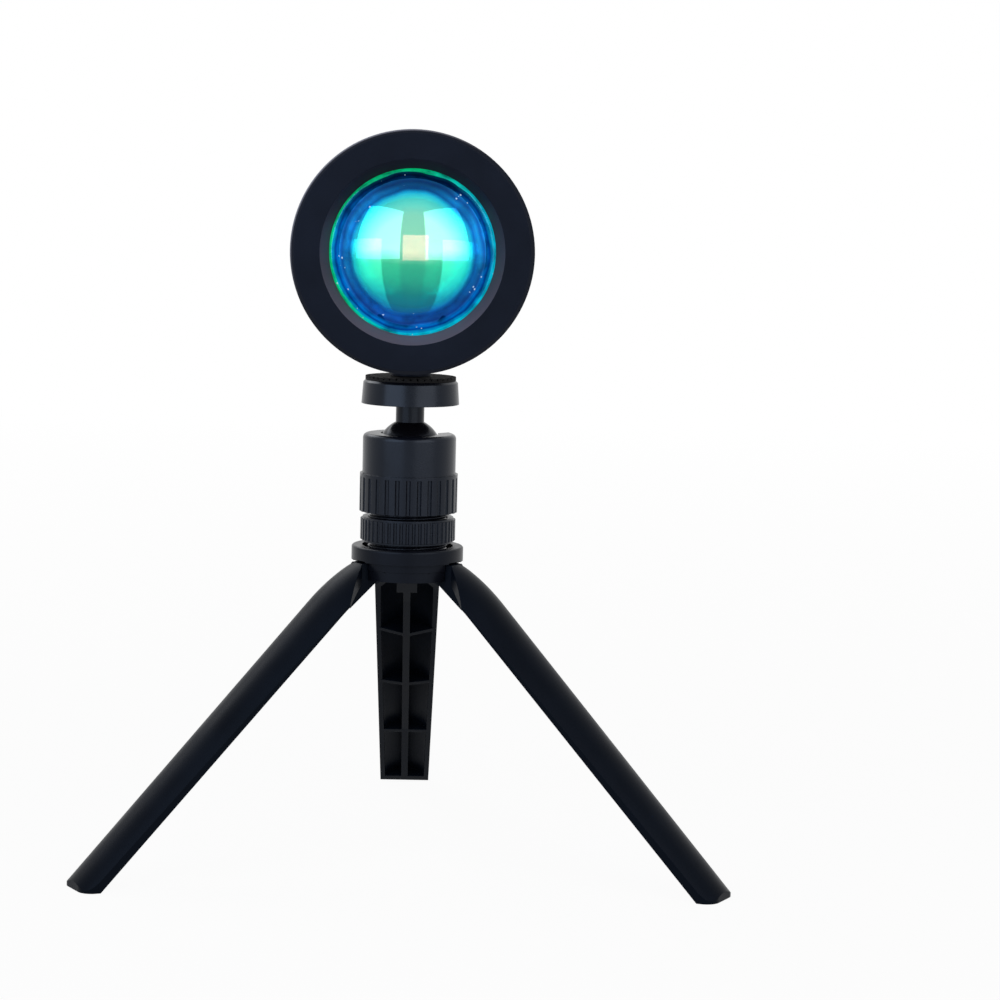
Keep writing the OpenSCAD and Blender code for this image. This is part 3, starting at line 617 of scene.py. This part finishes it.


# %% [markdown]
# ## The coated lens
#
# The lens looks dichroic: coated with thin films that throw back one band of colours and let the
# rest through. The colour runs from mint at the apex to deep blue rings and a bright green
# edge, as films do that come out thinner on a steep slope. The rings follow the distance from the
# lamp's axis, and so stay where they are from any side. Each coated face is part mirror and part
# glass. The flat back is coated too and mirrors more than the dome, so the studio shows twice:
# upright on the dome, and upside down from the back. There are five materials, four for rings of
# the dome and one for the back, each with its own share of mirror.
#
# Some of the look is painted to fit the photograph and doesn't come from the lamps: painted
# shade in the deeper tone of the lower half and at the top of the rings, and painted light in the
# bands, the bright line and the flecks at the rim, which are painted glints.

# %% Lens colours, each place a share of the dome's base radius or of its height
COATING = (
    (0.00, (0.44, 0.92, 0.68)),
    (0.45, (0.38, 0.92, 0.72)),
    (0.60, (0.12, 0.88, 0.82)),
    (0.66, (0.03, 0.80, 0.86)),
    (0.71, (0.00, 0.55, 0.95)),
    (0.76, (0.00, 0.11, 0.50)),
    (0.81, (0.00, 0.36, 0.95)),
    (0.86, (0.00, 0.10, 0.50)),
    (0.92, (0.00, 0.42, 1.00)),
    (0.985, (0.05, 1.00, 0.80)),
)
BACK_COATING = (
    (0.00, (0.80, 0.95, 0.84)),
    (0.60, (0.70, 0.95, 0.88)),
    (0.75, (0.05, 0.40, 0.95)),
)
# painted shade: colours by height that darken the lower half of the lens
LOWER_HALF_SHADE = (
    (0.12, (0.00, 0.20, 0.45)),
    (0.24, (0.02, 0.22, 0.36)),
    (0.36, (0.08, 0.50, 0.46)),
    (0.44, (0.14, 0.62, 0.52)),
    (0.52, (1.00, 1.00, 1.00)),
)
EDGE_LIGHT = (
    (0.70, (0.00, 0.00, 0.00)),
    (0.78, (0.00, 0.05, 0.22)),
    (0.85, (0.00, 0.02, 0.14)),
    (0.90, (0.00, 0.20, 0.70)),
    (0.93, (0.00, 0.04, 0.30)),
    (0.955, (0.00, 0.30, 0.65)),
)
BLACK = (0.0, 0.0, 0.0)
# colour of the painted glints
GLINT_COLOUR = (0.55, 0.7, 0.8)
# colour of the dark patches and of the painted shade at the top of the rings
DARK_FILM_AND_TOP_SHADE = (0.0, 0.012, 0.08)
GRAZING_FILM = (0.0, 0.2, 0.9)
GLASS_SHEEN = (0.25, 0.9, 0.85)
EDGE_GREEN = (0.0, 0.65, 0.22)
EDGE_CYAN = (0.0, 0.55, 0.75)

# %% Lens zones, each a name, where it starts and its share of mirror
EDGE_START = 0.972
ZONES = (
    ("coated_glass", 0.0, 0.3),
    ("coated_turn", 0.665, 0.5),
    ("coated_ring", 0.72, 0.8),
    ("coated_edge", EDGE_START, 0.5),
)
BACK_MIRROR = 0.9

# %% Lens materials
GLASS_IOR = 1.52
GLASS_ROUGH = 0.01
GLASS_SHINE = 0.2
EDGE_STRENGTH = 0.8
BEND = 0.08
RING_WAVES, SHADE_WAVES, PATCH_WAVES, GLOW_WAVES, FLECK_CELLS = 110.0, 180.0, 170.0, 230.0, 650.0
FLECK_SIZE, FLECK_CLOUD = 0.15, 0.58
FILM_SPAN, FILM_DARK = (0.42, 0.62), 0.6
# where the painted shade at the top of the rings starts and ends, and how dark it gets
TOP_START, TOP_END, TOP_SHADE = 0.45 * DOME_BASE, 0.8 * DOME_BASE, 0.85
RINGS_SPAN = (0.70, 0.76)
SLIDE_SPAN, SLIDE_SHARE = (0.4, 1.0), 0.7
TO_LOWER_RIGHT = (1.0, 0.0, -0.6)


def bent(tree, value, place, waves):
    """The value, moved by slow noise by up to half of BEND either way."""
    shift = maths(tree, "MULTIPLY_ADD", noise(tree, place, waves, 2.0), BEND, -BEND / 2)
    return maths(tree, "ADD", value, shift)


def lens_place(tree):
    """Place, height over the lamp's axis, offset, and bent distance as a share of the base."""
    place, offset, reach = from_axis(tree, LAMP_AXIS, 1)
    above = add(tree, "ShaderNodeSeparateXYZ", {0: offset}).outputs["Z"]
    share = bent(tree, maths(tree, "DIVIDE", reach, DOME_BASE), place, RING_WAVES)
    return place, above, offset, share


def coated_glass(name, mirror, table, depth=()):
    """Colour is a ramp over the distance from the lamp's axis, times a ramp over the height.

    The ramp over the height is painted shade, which darkens the lower half where the floor is
    mirrored. Dark patches from a noise lie in the rings only, and at the top the rings get painted
    shade as well. Where the view is flat the colour leans to blue.
    """
    material, tree, shader = start_material(name)
    place, above, _, share = lens_place(tree)
    band = colour_ramp(tree, share, table)
    # painted shade: the ramp over the height darkens the lower half
    if depth:
        height = bent(tree, span(tree, above, -DOME_BASE, DOME_BASE), place, SHADE_WAVES)
        band = blend_colour(tree, 1.0, band, colour_ramp(tree, height, depth), way="MULTIPLY")
    patch = span(tree, noise(tree, place, PATCH_WAVES, 4.0), *FILM_SPAN, 0.0, FILM_DARK)
    # painted shade at the top of the rings
    top = span(tree, above, TOP_START, TOP_END, 0.0, TOP_SHADE)
    in_rings = span(tree, share, *RINGS_SPAN)
    dark = maths(tree, "MULTIPLY", in_rings, maths(tree, "MAXIMUM", patch, top))
    toned = blend_colour(tree, dark, band, DARK_FILM_AND_TOP_SHADE)
    facing = add(tree, "ShaderNodeLayerWeight", {"Blend": 0.5}).outputs["Facing"]
    slide = span(tree, facing, *SLIDE_SPAN, 0.0, SLIDE_SHARE)
    tree.links.new(blend_colour(tree, slide, toned, GRAZING_FILM), shader.inputs["Base Color"])
    shader.inputs["Metallic"].default_value = mirror
    shader.inputs["Transmission Weight"].default_value = 1.0
    shader.inputs["IOR"].default_value = GLASS_IOR
    shader.inputs["Roughness"].default_value = GLASS_ROUGH
    shader.inputs["Specular IOR Level"].default_value = GLASS_SHINE
    shader.inputs["Specular Tint"].default_value = (*GLASS_SHEEN, 1)
    return material


def edge_glow(material):
    """Painted emission in place of light caught in the glass, which leaves it at the steep rim.

    Blue bands lead up to a thin bright line, green at the upper left and cyan at the lower right. A
    few cells of a random pattern hold a painted glint each.
    """
    tree = material.node_tree
    shader = tree.nodes["Principled BSDF"]
    place, above, offset, share = lens_place(tree)
    slant = vector_maths(tree, "DOT_PRODUCT", offset, TO_LOWER_RIGHT)
    side = span(tree, slant, -0.5 * DOME_BASE, 0.5 * DOME_BASE)
    line = blend_colour(tree, side, EDGE_GREEN, EDGE_CYAN)
    below = span(tree, above, 0.8 * DOME_BASE, 0.3 * DOME_BASE, 0.1, 1.0)
    bands = blend_colour(tree, below, BLACK, colour_ramp(tree, share, EDGE_LIGHT))
    tint = blend_colour(tree, maths(tree, "GREATER_THAN", share, EDGE_START), bands, line)
    cloud = noise(tree, place, GLOW_WAVES, 3.0)
    glow = blend_colour(tree, span(tree, cloud, 0.35, 0.6, 0.3, 1.0), BLACK, tint)
    # painted glints: bright flecks in a few cells of a random pattern
    cells = add(tree, "ShaderNodeTexVoronoi", {"Vector": place, "Scale": FLECK_CELLS})
    small = maths(tree, "LESS_THAN", cells.outputs["Distance"], FLECK_SIZE)
    painted_glint = maths(tree, "MULTIPLY", small, maths(tree, "GREATER_THAN", cloud, FLECK_CLOUD))
    tree.links.new(blend_colour(tree, painted_glint, glow, GLINT_COLOUR), shader.inputs["Emission Color"])
    shader.inputs["Emission Strength"].default_value = EDGE_STRENGTH


# %% [markdown]
# ## Metals and the light source
#
# Small metal parts get fine turning marks, rings round their axis made from the distance to it. The
# light source gives off light of its own although the lamp is off, because its square would not
# show through the coated lens otherwise.

# %% Recipes: turned metal and light source
MARK_HEIGHT = 0.004 * MM
TARNISH_WAVES = 400.0
TARNISH_DARK, TARNISH_ROUGH = 0.8, 0.2
CERAMIC = (0.2, 0.2, 0.19)
PHOSPHOR = (0.95, 0.62, 0.2)
SOURCE_GLOW = (1.0, 0.25, 0.24)
SOURCE_STRENGTH = 14.0
SOURCE_ROUGH = 0.35


def turned_metal(name, colour, rough, centre, along, pitch=0.15):
    """Turning marks are rings: a sine of the distance from the axis, pitch in millimetres apart."""
    material, tree, shader = start_material(name)
    place, _, reach = from_axis(tree, centre, along)
    rings = maths(tree, "SINE", maths(tree, "MULTIPLY", reach, 2 * math.pi / (pitch * MM)))
    bump = add(tree, "ShaderNodeBump", {"Height": rings, "Distance": MARK_HEIGHT, "Strength": 1.0})
    tree.links.new(bump.outputs[0], shader.inputs["Normal"])
    patchy = noise(tree, place, TARNISH_WAVES, 3.0)
    tint = blend_colour(tree, patchy, [TARNISH_DARK * c for c in colour], colour)
    tree.links.new(tint, shader.inputs["Base Color"])
    level = rough - TARNISH_ROUGH / 2
    clouded = maths(tree, "MULTIPLY_ADD", patchy, TARNISH_ROUGH, level)
    tree.links.new(clouded, shader.inputs["Roughness"])
    shader.inputs["Metallic"].default_value = 1.0
    return material


def light_source():
    """Yellow inside the raised square, grey ceramic outside it, by the distance from the middle."""
    material, tree, shader = start_material("light_source")
    centre = middle("led_chip") - np.array([0, 0, YELLOW_DROP])
    offset = vector_maths(tree, "SUBTRACT", object_place(tree), tuple(centre))
    away = vector_maths(tree, "ABSOLUTE", offset)
    parts = add(tree, "ShaderNodeSeparateXYZ", {0: away}).outputs
    reach = maths(tree, "MAXIMUM", parts["X"], parts["Z"])
    square = YELLOW_FOOT * half_size("led_chip")[0]
    inside = maths(tree, "LESS_THAN", reach, square)
    tree.links.new(blend_colour(tree, inside, CERAMIC, PHOSPHOR), shader.inputs["Base Color"])
    glow = blend_colour(tree, inside, BLACK, SOURCE_GLOW)
    tree.links.new(glow, shader.inputs["Emission Color"])
    shader.inputs["Emission Strength"].default_value = SOURCE_STRENGTH
    shader.inputs["Roughness"].default_value = SOURCE_ROUGH
    return material


# %% [markdown]
# ## Which piece gets which finish
#
# The table below lists the finishes and the pieces that wear them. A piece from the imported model
# takes a new finish by having its material slots filled; its mesh stays as it is.

# %% Make the finishes and hand them out
FINISHES = [
    (moulded("leg_plastic", (0.002, 0.0032, 0.0062), 0.36, grain=0.35, height=0.01, wear=0.05,
             shine=0.05, sheen=COOL_SHEEN),
     ["leg_left", "leg_right", "leg_back"]),
    (moulded("hub_plastic", (0.003, 0.0035, 0.006), 0.3, grain=0.3, height=0.006, wear=0.1,
             shine=0.12, sheen=COOL_SHEEN),
     ["tripod_hub", "hub_base"]),
    (moulded("grip_plastic", (0.003, 0.0036, 0.0065), 0.25, grain=0.2, height=0.004, wear=0.15,
             shine=0.25, sheen=COOL_SHEEN),
     ["lock_ring", "clamp_sleeve", "platform_disc", "core_thread"]),
    (moulded("ball_plastic", (0.002, 0.002, 0.003), 0.22, grain=0.2, height=0.004, shine=0.19,
             sheen=COOL_SHEEN),
     ["ball_stud", "lens_retainer"]),
    (moulded("pad_rubber", (0.004, 0.004, 0.005), 0.75, grain=0.4, height=0.04, shine=0.15),
     ["platform_pad", "lens_gasket", "cable_grommet"]),
    (moulded("head_coating", **HEAD_COATING), ["lamp_housing", "rear_cover"]),
    (bezel_coating(), ["front_bezel"]),
    (moulded("sink_anodised", (0.02, 0.021, 0.025), 0.45, grain=0.15, height=0.01, metal=0.6),
     ["heat_sink"]),
    (moulded("seat_nylon", (0.72, 0.71, 0.67), 0.5, grain=0.3), ["ball_seat"]),
    (moulded("reflector_white", (0.86, 0.86, 0.84), 0.3, grain=0.3, height=0.005), ["reflector"]),
    (moulded("board_white", (0.8, 0.8, 0.77), 0.45, grain=0.3), ["led_board"]),
    (moulded("board_green", (0.02, 0.16, 0.06), 0.35, grain=0.3), ["driver_board"]),
    (moulded("receiver_epoxy", (0.012, 0.012, 0.012), 0.3), ["ir_receiver"]),
    (moulded("window_red", (0.06, 0.003, 0.006), 0.12, grain=0.5, height=0.003), ["ir_window"]),
    (moulded("wire_cover", (0.5, 0.03, 0.025), 0.5, grain=0.3), ["led_leads"]),
    (turned_metal("hub_steel", (0.55, 0.55, 0.57), 0.35, middle("hub_screw"), 2), ["hub_screw"]),
    (turned_metal("pin_steel", (0.012, 0.012, 0.014), 0.5, middle("hinge_pins"), 2),
     ["hinge_pins"]),
    (turned_metal("screw_steel", (0.35, 0.35, 0.37), 0.4, middle("cover_screws"), 1),
     ["rear_screw_1", "rear_screw_2", "rear_screw_3", "board_screws"]),
    (turned_metal("insert_brass", (0.75, 0.55, 0.25), 0.3, middle("thread_insert"), 2),
     ["thread_insert"]),
    (light_source(), ["light_chip"]),
]

for finish, wearers in FINISHES:
    for wearer in wearers:
        slots = bpy.data.objects[wearer].data.materials
        slots.clear()
        slots.append(finish)
print("finishes:", len(FINISHES), "dressed pieces:", sum(len(w) for _, w in FINISHES))

# %% The coated zones of the lens
BACK_FACING = 0.99

slots = lens.data.materials
slots.clear()
for name, _, mirror in ZONES:
    slots.append(coated_glass(name, mirror, COATING, LOWER_HALF_SHADE))
edge_glow(slots["coated_ring"])
edge_glow(slots["coated_edge"])
slots.append(coated_glass("coated_back", BACK_MIRROR, BACK_COATING))

faces = lens.data.polygons
normals, centres = np.empty(3 * len(faces)), np.empty(3 * len(faces))
faces.foreach_get("normal", normals)
faces.foreach_get("center", centres)
reach = np.hypot(centres[0::3] - LAMP_X, centres[2::3] - LAMP_Z)
zone = np.digitize(reach / DOME_BASE, [start for _, start, _ in ZONES]) - 1
zone[normals[1::3] > BACK_FACING] = len(ZONES)
faces.foreach_set("material_index", zone.astype(np.int32))
print("faces in each zone of the lens:", np.bincount(zone).tolist())

# %% [markdown]
# ## Camera
#
# The photograph was taken from about 0.73 m, a little above the lamp's head and looking slightly
# down. These values come from a fit of the lamp's own points to the picture. The camera stands in
# front of the tripod's axis, and its axes are built from pitch, turn and roll.

# %% Camera
CAMERA_BACK = 730.4 * MM
CAMERA_SIDE = 3.84 * MM
CAMERA_HEIGHT = 175.0 * MM
LOOK_DOWN = math.radians(6.62)
LOOK_ASIDE = math.radians(1.50)
ROLL = math.radians(1.36)
LENS_LENGTH = 105.6
SENSOR_WIDTH = 36.0
NEAREST, FARTHEST = 0.05, 50.0


def camera_axes(down, aside, roll):
    """Forward from pitch and turn, right square to it, up their product, then both rolled."""
    forward = np.array([
        math.sin(aside) * math.cos(down), math.cos(aside) * math.cos(down), -math.sin(down)
    ])
    level = np.array([math.cos(aside), -math.sin(aside), 0.0])
    upright = np.cross(level, forward)
    right = level * math.cos(roll) + upright * math.sin(roll)
    up = upright * math.cos(roll) - level * math.sin(roll)
    return right, up, -forward


def place_camera():
    """Adds the camera with its axes as the columns of its matrix."""
    camera = bpy.data.objects.new("camera", bpy.data.cameras.new("camera"))
    bpy.context.scene.collection.objects.link(camera)
    camera.data.lens = LENS_LENGTH
    camera.data.sensor_width = SENSOR_WIDTH
    camera.data.clip_start, camera.data.clip_end = NEAREST, FARTHEST
    place = (TRIPOD_X + CAMERA_SIDE, TRIPOD_Y - CAMERA_BACK, CAMERA_HEIGHT)
    right, up, backward = camera_axes(LOOK_DOWN, LOOK_ASIDE, ROLL)
    rows = [[right[k], up[k], backward[k], place[k]] for k in range(3)]
    camera.matrix_world = Matrix([*rows, [0, 0, 0, 1]])
    bpy.context.scene.camera = camera
    print("camera at", [round(float(v), 3) for v in place])


place_camera()

# %% [markdown]
# ## Studio
#
# A plain pale floor and two large soft boxes in front, one cool at the left and one warm at the
# right, as the highlights on the clamp sleeve show. A third one behind lights the rear. The camera,
# mirrors and glass see a white world, and the light that it gives to dull surfaces is dimmer.

# %% Floor
FLOOR_HALF = 6.0
FLOOR_GREY = (0.6, 0.6, 0.6, 1)
WHITE = (1, 1, 1, 1)
NEAR_WHITE = 0.95
NEAR, FAR = 0.1, 1.2


def mirrored(tree, path):
    """1 for mirrored and refracted rays and 0 for others, from a Light Path node's outputs."""
    return maths(tree, "MAXIMUM", path["Is Glossy Ray"], path["Is Transmission Ray"])


def pale_floor():
    """Floor that camera, mirrors and glass see part white, part lit, so that shadows stay faint."""
    corners = [(x * FLOOR_HALF, y * FLOOR_HALF, 0) for x, y in ((-1, -1), (1, -1), (1, 1), (-1, 1))]
    mesh = bpy.data.meshes.new("floor")
    mesh.from_pydata(corners, [], [(0, 1, 2, 3)])
    floor = bpy.data.objects.new("floor", mesh)
    bpy.context.scene.collection.objects.link(floor)
    material = bpy.data.materials.new("pale_floor")
    material.use_nodes = True
    tree = material.node_tree
    tree.nodes.clear()
    lit = add(tree, "ShaderNodeBsdfDiffuse", {"Color": FLOOR_GREY})
    white = add(tree, "ShaderNodeEmission", {"Color": WHITE, "Strength": 1.0})
    path = add(tree, "ShaderNodeLightPath").outputs
    seen = maths(tree, "MAXIMUM", path["Is Camera Ray"], mirrored(tree, path))
    away = vector_maths(tree, "LENGTH", object_place(tree))
    share = maths(tree, "MULTIPLY", seen, span(tree, away, NEAR, FAR, NEAR_WHITE, 1.0))
    mixed = add(tree, "ShaderNodeMixShader", {0: share, 1: lit.outputs[0], 2: white.outputs[0]})
    add(tree, "ShaderNodeOutputMaterial", {"Surface": mixed.outputs[0]})
    mesh.materials.append(material)
    floor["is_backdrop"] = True
    print("floor of", 2 * FLOOR_HALF, "m")


pale_floor()

# %% World
ROOM_LEVEL = 0.3


def studio_world():
    """White to the camera, to mirrors and to glass, and a plain grey to dull surfaces."""
    world = bpy.data.worlds.new("studio")
    bpy.context.scene.world = world
    world.use_nodes = True
    tree = world.node_tree
    tree.nodes.clear()
    path = add(tree, "ShaderNodeLightPath").outputs
    seen = maths(tree, "MAXIMUM", path["Is Camera Ray"], mirrored(tree, path))
    plain = maths(tree, "MULTIPLY", path["Is Diffuse Ray"], ROOM_LEVEL)
    level = maths(tree, "MAXIMUM", seen, plain)
    sky = add(tree, "ShaderNodeBackground", {"Color": WHITE, "Strength": level})
    add(tree, "ShaderNodeOutputWorld", {"Surface": sky.outputs[0]})
    print("world nodes:", len(tree.nodes))


studio_world()

# %% Soft boxes, each with its place, aim, width, height, watts and colour
BOX_MIDDLE = 0.405
BOX_AIM = (0.0, 0.0, BOX_MIDDLE)
SOFT_BOXES = {
    "cool_box": ((-0.36, -0.48, BOX_MIDDLE), BOX_AIM, 0.53, 0.67, 2.7, (0.78, 0.88, 1.0)),
    "warm_box": ((0.36, -0.48, BOX_MIDDLE), BOX_AIM, 0.53, 0.67, 2.45, (1.0, 0.94, 0.88)),
    "back_box": ((-0.45, 0.5, 0.7), (0.0, 0.0, 0.12), 0.6, 0.5, 2.2, (1.0, 1.0, 1.0)),
}


def soft_box(name, place, aim, width, height, watts, colour):
    """A rectangular lamp that faces the point aim."""
    data = bpy.data.lights.new(name, "AREA")
    data.shape, data.size, data.size_y = "RECTANGLE", width, height
    data.energy, data.color = watts, colour
    lamp = bpy.data.objects.new(name, data)
    bpy.context.scene.collection.objects.link(lamp)
    lamp.location = place
    lamp.visible_camera = False
    lamp.rotation_euler = (Vector(aim) - Vector(place)).to_track_quat("-Z", "Y").to_euler()


for name, values in SOFT_BOXES.items():
    soft_box(name, *values)
print("soft boxes:", len(SOFT_BOXES))

bpy.context.scene.view_settings.view_transform = "Standard"

# %% Print the visual box
low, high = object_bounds()
print("visual box in mm:", [round(v / MM, 1) for v in (high - low)])
